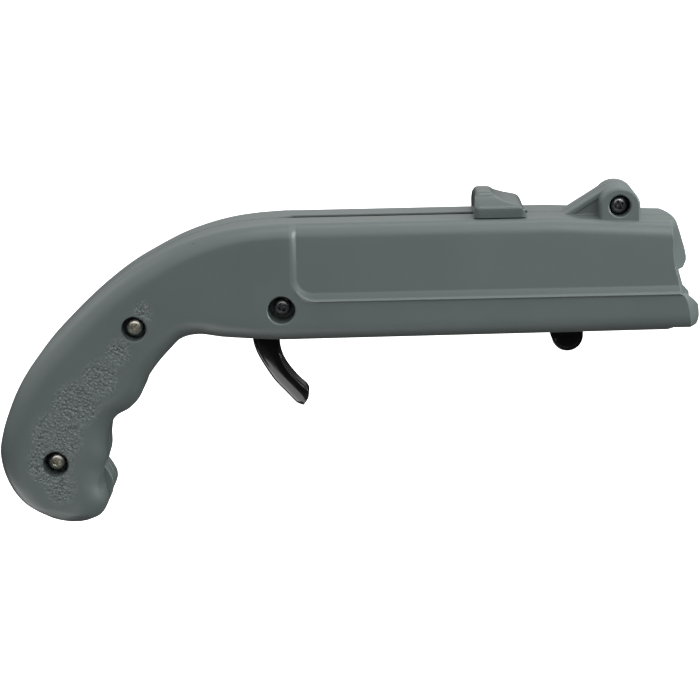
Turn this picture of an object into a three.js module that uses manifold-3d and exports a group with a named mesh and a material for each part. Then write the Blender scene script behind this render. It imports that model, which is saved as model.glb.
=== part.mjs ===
// Bottle-cap launcher: a pistol-shaped crown-cap opener with a spring-driven striker.
// Millimetres. +X runs along the barrel to the muzzle, +Z is up, and the shells part on the plane y = 0.
// The origin is the centre of the whole object's box, to within 1 mm.
import * as THREE from 'three';
import * as BufferGeometryUtils from 'three/addons/utils/BufferGeometryUtils.js';
import Module from 'manifold-3d';

const wasm = await Module();
wasm.setup();

// ---------------------------------------------------------------- driving dimensions

const BARREL_TOP = 38.8;          // height of the barrel's flat top
const BARREL_BOTTOM = 6.4;        // height of the underside at the trigger
const BAND_HALF = 18;             // half width of the rear body and of the band under the panel
const PANEL_HALF = 17;            // half width of the recessed side panel
const PANEL_REAR = -15;           // where the side panel starts
const LEDGE = 17.4;               // height of the ledge under the side panel
const LEDGE_CORNER = 6.5;         // rounding of the panel's lower rear corner
const GRIP_RADIUS = 7.5;          // rounding of the grip's edges
const TOP_RADIUS = 3;              // rounding along the barrel's top edges
const BOTTOM_RADIUS = 2.5;        // rounding along the barrel's bottom edges
const WALL = 2;                   // shell thickness
const HALF_GAP = 0.1;             // each shell stops this far from the parting plane
const GAP = 0.3;                  // clearance between neighbouring pieces
const FAR = 130;                  // beyond the object in every direction

const TRACK = { floor: LEDGE, ceiling: 24, half: 15.7, shelf: 1.5, slot: 5, rear: 22 };
const CAVITY_FRONT = 87;          // the hollow behind the nose ends here
const NECK = { radius: 13.5, x: 107 };   // the notch in the lip for the bottle's neck
const ROD = { z: 30.5, radius: 2, rear: -41, front: 56.7 };
const REAR_RIB = { rear: -42.5, front: -38 };
const FRONT_RIB = { rear: 54, front: 57 };
const SPRING = { radius: 4, wire: 0.45, turns: 15 };
const SLOT = { rear: -19.6, front: 51.8, half: 2.3 };
const BOSS = { x: 76.8, z: 41.9, half: 5.5, rise: 4.85, near: -14.5, far: 8.5 };
const RAMP = { foot: 61.6, half: 6.3 };

const TRIGGER_PIVOT = { x: -18.1, z: 15.1 };
const TRIGGER_SLOT = { rear: -29.4, front: -17.4, half: 4.6 };
const TRIGGER = { half: 3.8, hub: 5, bore: 3.2, arm: 2.6 };
const TRIGGER_SPRING = { x: -26, low: 16.9, high: 23.7, radius: 1.9, wire: 0.3, turns: 5 };
const CATCH_PIVOT = { x: 62.6, z: 11.6 };
const CATCH_SLOT = { rear: 56.4, front: 67.6, half: 5.3 };
const CATCH = { tab: 4.5, tabZ: 3.8, tabHalf: 4.8, hub: 2.6, hubHalf: 5.6, arm: 2.2 };
const CATCH_SPRING = { x: 55, low: 12.5, high: 15.6, radius: 1.6, wire: 0.25, turns: 3 };
const SLIDER_HALF = 14;
const CARRIAGE = { rear: 37, front: 50, half: 6, bottom: 21.5, top: 36.4 };
const PLATE = { rear: 57, front: 83, half: 15.2, bottom: TRACK.floor + 0.5, top: 23.4, nose: 17 };
const TOOTH = { rear: 47.6, front: 51.6, half: 3, bottom: 17 };
const TONGUE = { rear: 37.4, front: 50, half: 1.2, bottom: 33.8, pinX: 44, pinZ: 35.1, pin: 0.9 };
const MAGNET = { x: 74, radius: 5, bottom: 25.5, top: 28.5 };
const STEEL = { rear: 80, front: 94.6, half: 14.5, bottom: 15.4, top: 16.6 };

const SHANK = 1.35;               // radius of every screw's shank
const HEAD = { radius: 2.35, thick: 2 };

// hole: radius of the well in the near shell; seat: where the head's underside rests
const SCREWS = [
  { name: 'grip_screw_upper', x: -59.9, z: 10.3, hole: 3.5, seat: -10.8, end: 9, boss: 5.1 },
  { name: 'grip_screw_lower', x: -83.9, z: -28.6, hole: 3.6, seat: -9.2, end: 8.5, boss: 5.2 },
  { name: 'trigger_pivot_screw', ...TRIGGER_PIVOT, hole: 3.85, seat: -10.5, end: 13, boss: 5.3 },
  { name: 'front_boss_screw', x: BOSS.x, z: BOSS.z, hole: 3, seat: -9.5, end: 7, boss: 0 },
];

// Stations along the body, from the butt to the muzzle: a point on the back or top line, a point
// on the front or bottom line, the half width, and how round the edges are (1 grip, 0 barrel).
const STATIONS = [
  [[-80.5, -46.6], [-80.5, -46.6], 7.5, 1],
  [[-88.5, -44.6], [-75.2, -46.4], 12.4, 1],
  [[-94.8, -40.3], [-71.6, -44.5], 14.2, 1],
  [[-98.8, -33.9], [-70.4, -40.3], 14.6, 1],
  [[-100.4, -26.2], [-71.0, -35.6], 14.8, 1],
  [[-99.4, -20.0], [-71.0, -31.6], 14.9, 1],
  [[-97.3, -13.9], [-69.9, -27.6], 15.0, 1],
  [[-94.7, -8.0], [-69.8, -23.5], 15.1, 1],
  [[-91.4, -2.4], [-68.9, -19.3], 15.2, 1],
  [[-86.2, 4.4], [-66.3, -15.7], 15.4, 1],
  [[-80.4, 10.5], [-62.5, -13.5], 15.6, 1],
  [[-74.3, 16.3], [-59.5, -10.2], 15.8, 0.9],
  [[-68.0, 21.6], [-57.5, -5.5], 16.1, 0.8],
  [[-61.3, 26.4], [-53.8, -0.2], 16.5, 0.7],
  [[-54.1, 30.4], [-50.0, 4.0], 17.0, 0.6],
  [[-47.0, 33.8], [-46.8, 7.0], 17.4, 0.45],
  [[-40.0, 36.0], [-42.0, 8.2], 17.7, 0.3],
  [[-33.0, 37.5], [-35.0, 7.4], 17.9, 0.15],
  [[-26.0, 38.4], [-27.0, 6.7], BAND_HALF, 0],
  [[-18.0, BARREL_TOP], [-18.0, BARREL_BOTTOM], BAND_HALF, 0],
  [[58.5, BARREL_TOP], [58.5, 6.8], BAND_HALF, 0],
  [[88.0, 37.1], [88.0, 7.0], BAND_HALF, 0],
  [[104.0, 36.6], [104.0, 7.1], BAND_HALF, 0],
].map(([top, low, half, round]) => ({ top, low, half, round }));

// The muzzle's front at y = 0, from the nose down to the lip: x, z, and the radius with which the
// front curves back toward the sides.
const MUZZLE = [
  [90.5, 40, 52], [91.8, 37.9, 52], [93.2, 36.4, 50], [94.4, 33.4, 42], [95.3, 30.4, 34],
  [96.1, 27.6, 30], [96.6, 25, 29.5], [96.9, 23.8, 31], [98.7, 17.4, 31],
  [99.7, 16.4, 31], [100.4, 14.4, 31], [100.8, 12.2, 31], [100.9, 9.8, 31], [100.3, 7.9, 31], [98.9, 6, 31],
];
const LIP_CURVE = 31;             // the lip's radius in plan
const LIP_SLOPE = [[94.8, 17.5], [96.3, 15.7], [97.7, 14.6], [98.9, 13.3], [99.6, 12]];
const NOSE_UNDERSIDE = [[94.4, 23.9], [95.2, 24.5], [96.1, 25.3], [96.7, 26.4], [97, 27.4]];
const BACKING_FRONT = 97;         // the ribs that fill the nose and the lip end here

// ---------------------------------------------------------------- solids

// the geometry as a solid: shared corners merged, empty triangles dropped, faces turned outward
function solid(geometry) {
  const bare = geometry.clone();
  bare.deleteAttribute('normal');
  bare.deleteAttribute('uv');
  const merged = BufferGeometryUtils.mergeVertices(bare, 1e-4);
  const corners = merged.attributes.position;
  const index = merged.index.array;
  const [a, b, c] = [0, 1, 2].map(() => new THREE.Vector3());
  const faces = [];
  let volume = 0;
  for (let i = 0; i < index.length; i += 3) {
    const [p, q, r] = [index[i], index[i + 1], index[i + 2]];
    if (p === q || q === r || r === p) continue;
    faces.push([p, q, r]);
    a.fromBufferAttribute(corners, p);
    b.fromBufferAttribute(corners, q);
    c.fromBufferAttribute(corners, r);
    volume += a.dot(b.cross(c));
  }
  if (volume < 0) faces.forEach((face) => face.reverse());
  return new wasm.Manifold(new wasm.Mesh({
    numProp: 3,
    vertProperties: new Float32Array(corners.array),
    triVerts: new Uint32Array(faces.flat()),
  }));
}

function geometryOf(manifold) {
  const mesh = manifold.getMesh();
  const geometry = new THREE.BufferGeometry();
  geometry.setAttribute('position', new THREE.BufferAttribute(new Float32Array(mesh.vertProperties), 3));
  geometry.setIndex(new THREE.BufferAttribute(new Uint32Array(mesh.triVerts), 1));
  geometry.computeVertexNormals();
  return geometry;
}

const unite = (...solids) => solids.reduce((a, b) => a.add(b));
const cut = (base, ...tools) => tools.reduce((a, b) => a.subtract(b), base);

function block(x0, x1, y0, y1, z0, z1) {
  const geometry = new THREE.BoxGeometry(x1 - x0, y1 - y0, z1 - z0);
  geometry.translate((x0 + x1) / 2, (y0 + y1) / 2, (z0 + z1) / 2);
  return solid(geometry);
}

// cylinders along X, Y and Z, from one end to the other
function barX(y, z, radius, x0, x1, sides = 20) {
  const geometry = new THREE.CylinderGeometry(radius, radius, x1 - x0, sides);
  geometry.rotateZ(-Math.PI / 2);
  geometry.translate((x0 + x1) / 2, y, z);
  return solid(geometry);
}

function barY(x, z, radius, y0, y1, sides = 20) {
  const geometry = new THREE.CylinderGeometry(radius, radius, y1 - y0, sides);
  geometry.translate(x, (y0 + y1) / 2, z);
  return solid(geometry);
}

function barZ(x, y, radius, z0, z1, sides = 24) {
  const geometry = new THREE.CylinderGeometry(radius, radius, z1 - z0, sides);
  geometry.rotateX(Math.PI / 2);
  geometry.translate(x, y, (z0 + z1) / 2);
  return solid(geometry);
}

const outline = (points) => new THREE.Shape(points.map(([a, b]) => new THREE.Vector2(a, b)));

// an outline of [x, z] points carried across from y0 to y1
function plateXZ(points, y0, y1) {
  const geometry = new THREE.ExtrudeGeometry(outline(points), { depth: y1 - y0, bevelEnabled: false });
  geometry.rotateX(Math.PI / 2);
  geometry.translate(0, y1, 0);
  return solid(geometry);
}

// an outline of [y, z] points carried along from x0 to x1
function plateYZ(points, x0, x1) {
  const geometry = new THREE.ExtrudeGeometry(outline(points), { depth: x1 - x0, bevelEnabled: false });
  geometry.rotateX(Math.PI / 2);
  geometry.rotateZ(Math.PI / 2);
  geometry.translate(x0, 0, 0);
  return solid(geometry);
}

// an outline of [x, y] points carried up from z0 to z1
function plateXY(points, z0, z1) {
  const geometry = new THREE.ExtrudeGeometry(outline(points), { depth: z1 - z0, bevelEnabled: false });
  geometry.translate(0, 0, z0);
  return solid(geometry);
}

// points along an arc, angles in degrees
function arc(x, z, radius, from, to, steps) {
  return Array.from({ length: steps + 1 }, (_, i) => {
    const angle = THREE.MathUtils.degToRad(from + (to - from) * i / steps);
    return [x + radius * Math.cos(angle), z + radius * Math.sin(angle)];
  });
}

// a closed solid through rings of equal length; each end ring is filled flat, unless it is a line
function throughRings(rings, flatten) {
  const count = rings[0].length;
  const faces = [];
  for (let r = 0; r + 1 < rings.length; r += 1) {
    for (let i = 0; i < count; i += 1) {
      const a = r * count + i;
      const b = r * count + (i + 1) % count;
      faces.push(a, b, b + count, a, b + count, a + count);
    }
  }
  for (const [r, turn] of [[0, true], [rings.length - 1, false]]) {
    const flat = rings[r].map((point) => new THREE.Vector2(...flatten(point)));
    if (Math.abs(THREE.ShapeUtils.area(flat)) < 1e-6) continue;
    const keep = THREE.ShapeUtils.area(flat) > 0;
    for (const triangle of THREE.ShapeUtils.triangulateShape(flat, [])) {
      const face = triangle.map((i) => r * count + i);
      faces.push(...(turn === keep ? face.reverse() : face));
    }
  }
  const geometry = new THREE.BufferGeometry();
  geometry.setAttribute('position', new THREE.Float32BufferAttribute(rings.flat(2), 3));
  geometry.setIndex(faces);
  return solid(geometry);
}

// ---------------------------------------------------------------- the body's skin

const mix = THREE.MathUtils.lerp;

// the grip's stations follow smooth curves, with `between` steps each; the barrel's are straight
function finerStations(between) {
  const barrel = STATIONS.findIndex((station) => station.round === 0);
  const line = (key) => new THREE.CatmullRomCurve3(
    STATIONS.slice(0, barrel + 1).map((s) => new THREE.Vector3(s[key][0], 0, s[key][1])),
    false, 'centripetal');
  const [top, low] = [line('top'), line('low')];
  const fine = [];
  for (let i = 0; i < barrel * between; i += 1) {
    const [at, share] = [Math.floor(i / between), (i % between) / between];
    const [a, b] = [STATIONS[at], STATIONS[at + 1]];
    const t = top.getPoint(i / (barrel * between));
    const l = low.getPoint(i / (barrel * between));
    fine.push({
      top: [t.x, t.z],
      low: [l.x, l.z],
      half: mix(a.half, b.half, share),
      round: mix(a.round, b.round, share),
    });
  }
  return fine.concat(STATIONS.slice(barrel));
}

// the closed ring of one station: a rectangle with rounded corners between its two lines
function sectionRing({ top, low, half, round }) {
  const length = Math.hypot(top[0] - low[0], top[1] - low[1]);
  const along = length > 0 ? [(top[0] - low[0]) / length, (top[1] - low[1]) / length] : [0, 0];
  const most = length / 2;
  const lowRadius = Math.min(mix(BOTTOM_RADIUS, GRIP_RADIUS, round), most);
  const topRadius = Math.min(mix(TOP_RADIUS, GRIP_RADIUS, round), most);
  const side = [
    ...arc(half - lowRadius, lowRadius, lowRadius, -90, 0, 3),
    ...arc(half - topRadius, length - topRadius, topRadius, 0, 90, 4),
  ];
  const place = ([y, s]) => [low[0] + along[0] * s, y, low[1] + along[1] * s];
  return [[0, 0], ...side, [0, length], ...side.map(([y, s]) => [-y, s]).reverse()].map(place);
}

const throughStations = (stations) => throughRings(stations.map(sectionRing), ([x, y, z]) => [y, z - x]);

const STEPS_BETWEEN = 2;
const fineStations = finerStations(STEPS_BETWEEN);

// what is cut away beside the narrower barrel, above the ledge
function panelRecess() {
  const rear = PANEL_REAR;
  const corner = arc(rear + LEDGE_CORNER, LEDGE + LEDGE_CORNER, LEDGE_CORNER, 180, 270, 4);
  const around = plateXZ([[rear, 60], ...corner, [FAR, LEDGE], [FAR, 60]], -30, 30);
  const barrel = STATIONS.slice(-4).map((station) => ({
    ...station,
    top: [station.top[0], station.top[1] + 0.05],
    half: PANEL_HALF,
  }));
  barrel[0].top[0] = barrel[0].low[0] = PANEL_REAR - 5;
  return around.subtract(throughStations(barrel));
}

// everything behind the muzzle's front, which curves back toward the sides
function behindMuzzle() {
  const rings = [];
  for (let y = -24; y <= 24; y += 3) {
    const front = MUZZLE.map(([x, z, radius]) => [x - y * y / (2 * radius), y, z]);
    const [above, below] = [front[0], front[front.length - 1]];
    rings.push([[-FAR, y, -FAR], [-FAR, y, FAR], [above[0], y, FAR], ...front, [below[0], y, -FAR]]);
  }
  return throughRings(rings, ([x, , z]) => [x, z]);
}

// the arched cross boss on top of the muzzle and the ramp behind it
function frontBoss() {
  const { x, z, half, rise, near, far } = BOSS;
  const steps = 28;
  const outline = [[x - half, 36]];
  for (let i = 0; i <= steps; i += 1) {
    const angle = Math.PI * (1 - i / steps);
    outline.push([x + half * Math.cos(angle), z + rise * Math.sin(angle)]);
  }
  outline.push([x + half, 36]);
  const slope = Math.atan2(z + rise - BARREL_TOP - 1, x - RAMP.foot - half);
  const touch = [x - half * Math.sin(slope), z + rise * Math.cos(slope)];
  const ramp = plateXZ([[RAMP.foot - 0.6, 37], [RAMP.foot, BARREL_TOP], touch, [x, z], [x, 37]],
    -RAMP.half, RAMP.half);
  return plateXZ(outline, near, far).add(ramp);
}

function makeSkin() {
  const body = throughStations(fineStations).subtract(panelRecess());
  const lipStep = plateXZ([[90, 0], [90, 6.9], [91.4, 7.6], [FAR, 7.6], [FAR, 0]], -30, 30);
  return cut(body.intersect(behindMuzzle()).add(frontBoss()), lipStep);
}

// the hollow inside both shells
function makeHollow() {
  const inner = fineStations.slice(2 * STEPS_BETWEEN).map(({ top, low, half, round }) => {
    const length = Math.hypot(top[0] - low[0], top[1] - low[1]);
    const step = [(top[0] - low[0]) / length * WALL, (top[1] - low[1]) / length * WALL];
    return {
      top: [top[0] - step[0], top[1] - step[1]],
      low: [low[0] + step[0], low[1] + step[1]],
      half: Math.min(half - WALL, TRACK.half),
      round: round * 0.7,
    };
  });
  inner[inner.length - 1].top = [CAVITY_FRONT, inner[inner.length - 2].top[1]];
  inner[inner.length - 1].low = [CAVITY_FRONT, inner[inner.length - 2].low[1]];
  inner.splice(inner.length - 2, 1);
  return throughStations(inner);
}

// ---------------------------------------------------------------- shells

const skin = makeSkin();
const hollow = makeHollow();

// the steel plate's outline, or its pocket's with grow above 0
function steelOutline(grow, half = STEEL.half) {
  const reach = half + grow;
  const front = [];
  for (let i = 0; i <= 8; i += 1) {
    const y = reach * (1 - i / 4);
    front.push([STEEL.front + grow - y * y / (2 * LIP_CURVE), y]);
  }
  return [[STEEL.rear - grow, reach], [STEEL.rear - grow, -reach], ...front.reverse()];
}

const neckCut = () => barZ(NECK.x, 0, NECK.radius, -FAR, LEDGE + 0.1, 40);

// one half of the casing: side is 1 for the far shell, -1 for the near one with the screw wells
function makeShell(side) {
  const sideBlock = (x0, x1, inner, outer, z0, z1) => block(
    x0, x1, Math.min(side * inner, side * outer), Math.max(side * inner, side * outer), z0, z1);
  const sideBar = (x, z, radius, inner, outer) => barY(
    x, z, radius, Math.min(side * inner, side * outer), Math.max(side * inner, side * outer));
  const half = sideBlock(-FAR, FAR, HALF_GAP, 40, -FAR, FAR);
  const shelfBottom = TRACK.floor - TRACK.shelf;

  const ribs = [
    sideBlock(REAR_RIB.rear, REAR_RIB.front, 0, 30, TRACK.ceiling, 60),
    sideBlock(FRONT_RIB.rear, FRONT_RIB.front, 0, 30, TRACK.ceiling, 60),
    sideBlock(TRIGGER_SPRING.x - 4, TRIGGER_SPRING.x + 4, 0, 30,
      TRIGGER_SPRING.high + GAP, TRIGGER_SPRING.high + WALL),
    sideBlock(TRACK.rear, BACKING_FRONT, TRACK.slot, 30, shelfBottom, TRACK.floor),
    sideBlock(CATCH_SPRING.x - 2, CATCH_SPRING.x + 2, 0, 30, shelfBottom, TRACK.floor),
    sideBlock(STEEL.rear - 2, BACKING_FRONT, 0, 30, STEEL.bottom - 2, TRACK.floor),
    sideBlock(FRONT_RIB.rear, BACKING_FRONT, 0, 30, TRACK.ceiling, MAGNET.bottom - GAP),
    cut(barZ(MAGNET.x, 0, MAGNET.radius + 1.8, TRACK.ceiling, MAGNET.top + GAP),
      barZ(MAGNET.x, 0, MAGNET.radius + GAP, MAGNET.bottom - GAP, FAR)),
    sideBlock(CATCH_PIVOT.x - 4, CATCH_PIVOT.x + 4, CATCH.hubHalf + GAP, 10, 6, shelfBottom + 0.5),
    ...SCREWS.filter((screw) => screw.boss > 0).map((screw) => sideBar(
      screw.x, screw.z, side < 0 ? screw.boss : 4.3,
      screw.name === 'trigger_pivot_screw' ? TRIGGER.half + 0.6 : 0, 30)),
  ];
  const cuts = [
    block(TRACK.rear, FAR, -TRACK.half, TRACK.half, TRACK.floor, TRACK.ceiling),
    plateXZ([...LIP_SLOPE, [FAR, 12], [FAR, 17.5]], -TRACK.half, TRACK.half),
    plateXZ([...NOSE_UNDERSIDE, [FAR, 27.4], [FAR, 23.9]], -TRACK.half, TRACK.half),
    plateXY([[SLOT.rear, -SLOT.half], [SLOT.front, -SLOT.half], [SLOT.front, SLOT.half],
      [SLOT.rear + 2 * SLOT.half, SLOT.half]], BARREL_TOP - 4, BARREL_TOP + 4),
    block(TRIGGER_SLOT.rear, TRIGGER_SLOT.front, -TRIGGER_SLOT.half, TRIGGER_SLOT.half, 0, 9),
    block(CATCH_SLOT.rear, CATCH_SLOT.front, -CATCH_SLOT.half, CATCH_SLOT.half, 0, 10),
    barX(0, ROD.z, ROD.radius + 0.2, ROD.rear - GAP, ROD.front + GAP),
    plateXY(steelOutline(GAP), STEEL.bottom - GAP, STEEL.top + GAP),
    plateXY(steelOutline(GAP, STEEL.half - 2), STEEL.top, TRACK.floor + 0.5),
    neckCut(),
    barY(CATCH_PIVOT.x, CATCH_PIVOT.z, 1.35, -9.3, 9.3),
    ...SCREWS.flatMap(({ x, z, hole, seat, end }) => (side < 0
      ? [barY(x, z, hole, -30, seat, 24), barY(x, z, SHANK + 0.3, seat - 1, 1)]
      : [barY(x, z, SHANK + 0.1, -1, end + 1)])),
  ];
  const inside = unite(...ribs).intersect(skin);
  return cut(skin.subtract(hollow).add(inside).intersect(half), ...cuts);
}

// ---------------------------------------------------------------- pieces

// a Phillips screw along Y, its head toward the near side
function makeScrew({ x, z, seat, end }) {
  const top = seat - HEAD.thick;
  return cut(
    unite(barY(x, z, HEAD.radius, top, seat - 0.1), barY(x, z, SHANK, top + 0.5, end)),
    block(x - 1.3, x + 1.3, top - 1, top + 1, z - 0.35, z + 0.35),
    block(x - 0.35, x + 0.35, top - 1, top + 1, z - 1.3, z + 1.3));
}

class Helix extends THREE.Curve {
  constructor(radius, length, turns, place) {
    super();
    Object.assign(this, { radius, length, turns, place });
  }

  getPoint(t) {
    const angle = t * this.turns * 2 * Math.PI;
    const [u, v] = [this.radius * Math.cos(angle), this.radius * Math.sin(angle)];
    return new THREE.Vector3(...this.place(u, v, t * this.length));
  }
}

// a coil spring; place puts a point of the coil, (across, across, along), into the object
function makeSpring({ radius, wire, turns }, length, place) {
  const shape = outline(arc(0, 0, wire, 0, 288, 4));
  const extrudePath = new Helix(radius, length - 2 * wire, turns, place);
  return solid(new THREE.ExtrudeGeometry(shape, { steps: turns * 10, bevelEnabled: false, extrudePath }));
}

function makeMainSpring() {
  const start = REAR_RIB.front + GAP + SPRING.wire;
  const length = CARRIAGE.rear - 1.6 - REAR_RIB.front - GAP;
  return makeSpring(SPRING, length, (u, v, along) => [start + along, u, ROD.z + v]);
}

function makeSmallSpring(spring) {
  const place = (u, v, along) => [spring.x + u, v, spring.low + spring.wire + along];
  return makeSpring(spring, spring.high - spring.low, place);
}

// the striker: a block on the guide rod, and a plate in the track that knocks the cap out
function makeStriker() {
  const { rear, front, half, bottom, top } = CARRIAGE;
  const nose = Array.from({ length: 9 }, (_, i) => {
    const y = PLATE.half * (i / 4 - 1);
    return [PLATE.front - (PLATE.half * PLATE.half - y * y) / (2 * PLATE.nose), y];
  });
  const plate = plateXY([[PLATE.rear, PLATE.half], [PLATE.rear, -PLATE.half], ...nose],
    PLATE.bottom, PLATE.top);
  const arm = block(rear + 8, PLATE.rear + 2, -half, half, PLATE.bottom + 1.1, PLATE.top);
  const tooth = plateXZ([[TOOTH.rear, bottom], [TOOTH.front - 1.6, TOOTH.bottom],
    [TOOTH.front, TOOTH.bottom], [TOOTH.front, bottom]], -TOOTH.half, TOOTH.half);
  return cut(
    unite(block(rear, front, -half, half, bottom, top), plate, arm, tooth),
    barX(0, ROD.z, ROD.radius + 0.25, rear - 1, front + 1),
    block(rear - 1, front + 1, -TONGUE.half - GAP, TONGUE.half + GAP, TONGUE.bottom - GAP, top + 1),
    barY(TONGUE.pinX, TONGUE.pinZ, TONGUE.pin + 0.05, -half - 1, half + 1),
    block(CATCH_PIVOT.x - 1, FAR, -CATCH.arm - 0.5, CATCH.arm + 0.5, 0, PLATE.bottom + 3));
}

// the thumb slider on top of the barrel: a high rear lip, a scooped front and a crowned back,
// with the tongue that reaches down through the slot
function makeSlider() {
  const base = BARREL_TOP + GAP;
  const side = plateXZ([[36.3, base], [50.9, base], [50.5, 40.7], [49.5, 41.9], [47.6, 42.6], [45, 43.4],
    [43, 44.4], [41.3, 45.7], [37.6, 45.7], [36.8, 44.8]], -SLIDER_HALF, SLIDER_HALF);
  const rightHalf = [[SLIDER_HALF, base], [SLIDER_HALF, 41.5], [13.4, 43.2], [11.4, 44.7], [8, 45.5], [0, 45.8]];
  const leftHalf = rightHalf.slice(0, -1).map(([y, z]) => [-y, z]).reverse();
  const crown = plateYZ([...rightHalf, ...leftHalf], 30, 60);
  const tongue = block(TONGUE.rear, TONGUE.front, -TONGUE.half, TONGUE.half, TONGUE.bottom, base + 0.8);
  return cut(unite(side.intersect(crown), tongue),
    barY(TONGUE.pinX, TONGUE.pinZ, TONGUE.pin + 0.05, -3, 3));
}

// the trigger: blade below, sear arm forward, spring arm behind
function makeTrigger() {
  const { x, z } = TRIGGER_PIVOT;
  const blade = plateXZ([
    [-28.3, 16.6], [-28.3, 13.6], [-27.4, 9], [-27, 5], [-26.6, 2.4], [-25.3, -1.1], [-23.2, -4.8],
    [-20.9, -8.3], [-18.1, -11.4], [-14.9, -13.9], [-13.2, -14.7], [-12, -13.7], [-11.5, -10.4],
    [-13.8, -7.9], [-16.1, -5.2], [-18, -2], [-19.1, 1.6], [-19.2, 5.4], [-18.2, 9.6], [-16, 16.6],
  ], -TRIGGER.half, TRIGGER.half);
  const arm = plateXZ([[-18, 11], [0.6, 13.2], [3.4, 14.2], [3.4, 18.2], [0.3, 18.2], [-0.2, 16.4], [-18, 16.6]],
    -TRIGGER.arm, TRIGGER.arm);
  return cut(unite(blade, arm, barY(x, z, TRIGGER.hub, -TRIGGER.half, TRIGGER.half, 24)),
    barY(x, z, TRIGGER.bore, -9, 9));
}

// the catch under the muzzle: a thumb tab below, a nose in the track and an arm under its spring
function makeCatch() {
  const { x, z } = CATCH_PIVOT;
  const tab = plateXZ([[x + CATCH.tab, z - 1], [x - CATCH.tab, z - 1],
    ...arc(x, CATCH.tabZ, CATCH.tab, 180, 360, 14)], -CATCH.tabHalf, CATCH.tabHalf);
  const lever = plateXZ([[x - 9.2, z - 1.2], [x + 2, z - 2], [x + 6.4, 15.6], [x + 6.8, 18.9], [x + 5.2, 19.2],
    [x - 0.5, z + 2.6], [x - 4.6, z + 0.6], [x - 9.2, z + 0.6]], -CATCH.arm, CATCH.arm);
  return cut(unite(tab, lever, barY(x, z, CATCH.hub, -CATCH.hubHalf, CATCH.hubHalf)),
    barY(x, z, 1.35, -9, 9));
}

// ---------------------------------------------------------------- the object

const body = new THREE.Group();
const materials = {
  shell: { color: 0x59625f, roughness: 0.5, metalness: 0 },
  black: { color: 0x0c0d0d, roughness: 0.3, metalness: 0 },
  steel: { color: 0xb4b7ba, roughness: 0.35, metalness: 1 },
  darkSteel: { color: 0x2b2c2d, roughness: 0.4, metalness: 1 },
  rubber: { color: 0x1a1a1a, roughness: 0.9, metalness: 0 },
};

function add(name, shape, look) {
  const mesh = new THREE.Mesh(geometryOf(shape), new THREE.MeshStandardMaterial(materials[look]));
  mesh.name = name;
  body.add(mesh);
}

add('left_shell', makeShell(1), 'shell');
add('right_shell', makeShell(-1), 'shell');
for (const screw of SCREWS) {
  const dark = screw.name === 'trigger_pivot_screw' || screw.name === 'front_boss_screw';
  add(screw.name, makeScrew(screw), dark ? 'darkSteel' : 'steel');
}
add('guide_rod', barX(0, ROD.z, ROD.radius, ROD.rear, ROD.front), 'steel');
add('main_spring', makeMainSpring(), 'steel');
add('spring_washer', cut(
  barX(0, ROD.z, 4.8, CARRIAGE.rear - 1.1, CARRIAGE.rear - 0.2),
  barX(0, ROD.z, ROD.radius + 0.25, 0, 60)), 'steel');
add('striker', makeStriker(), 'black');
add('cocking_slider', makeSlider(), 'shell');
add('slider_pin', barY(TONGUE.pinX, TONGUE.pinZ, TONGUE.pin, -CARRIAGE.half, CARRIAGE.half, 16), 'steel');
add('stop_bumper', cut(
  barX(0, ROD.z, 5.2, CARRIAGE.front + GAP, FRONT_RIB.rear - GAP),
  barX(0, ROD.z, ROD.radius + 0.25, 0, 60)), 'rubber');
add('trigger', makeTrigger(), 'black');
add('trigger_bush', cut(
  barY(TRIGGER_PIVOT.x, TRIGGER_PIVOT.z, 3, -4.1, 4.1),
  barY(TRIGGER_PIVOT.x, TRIGGER_PIVOT.z, SHANK + 0.15, -5, 5)), 'steel');
add('trigger_spring', makeSmallSpring(TRIGGER_SPRING), 'steel');
add('cap_catch', makeCatch(), 'black');
add('catch_pin', barY(CATCH_PIVOT.x, CATCH_PIVOT.z, 1.2, -9, 9, 16), 'steel');
add('catch_spring', makeSmallSpring(CATCH_SPRING), 'steel');
add('opener_plate', cut(plateXY(steelOutline(0), STEEL.bottom, STEEL.top), neckCut()), 'steel');
add('cap_magnet', barZ(MAGNET.x, 0, MAGNET.radius, MAGNET.bottom, MAGNET.top), 'steel');

export default body;
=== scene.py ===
# Looks of the bottle-cap launcher: smooth moulded shells, slider, trigger, catch, screws and springs
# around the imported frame. Shapes are given in millimetres, in the frame's own axes, and mesh_object()
# turns them into metres.
import math

import bmesh
import bpy
import numpy as np
from mathutils import Matrix, Vector


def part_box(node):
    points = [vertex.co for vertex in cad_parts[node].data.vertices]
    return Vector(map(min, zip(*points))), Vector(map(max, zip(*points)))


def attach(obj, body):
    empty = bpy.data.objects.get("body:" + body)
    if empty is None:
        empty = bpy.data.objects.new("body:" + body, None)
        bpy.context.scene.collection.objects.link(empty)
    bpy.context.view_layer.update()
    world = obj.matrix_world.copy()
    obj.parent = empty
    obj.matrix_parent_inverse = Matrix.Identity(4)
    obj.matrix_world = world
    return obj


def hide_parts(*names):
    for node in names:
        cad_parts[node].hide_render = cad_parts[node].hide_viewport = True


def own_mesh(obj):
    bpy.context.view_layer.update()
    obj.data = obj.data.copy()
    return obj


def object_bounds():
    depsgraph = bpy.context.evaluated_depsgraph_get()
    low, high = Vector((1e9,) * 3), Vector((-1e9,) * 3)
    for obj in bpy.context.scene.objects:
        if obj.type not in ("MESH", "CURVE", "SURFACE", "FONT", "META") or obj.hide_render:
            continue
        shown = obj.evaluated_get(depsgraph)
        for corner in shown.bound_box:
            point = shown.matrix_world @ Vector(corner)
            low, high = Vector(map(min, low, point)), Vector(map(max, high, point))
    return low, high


MM = 0.001
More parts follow.
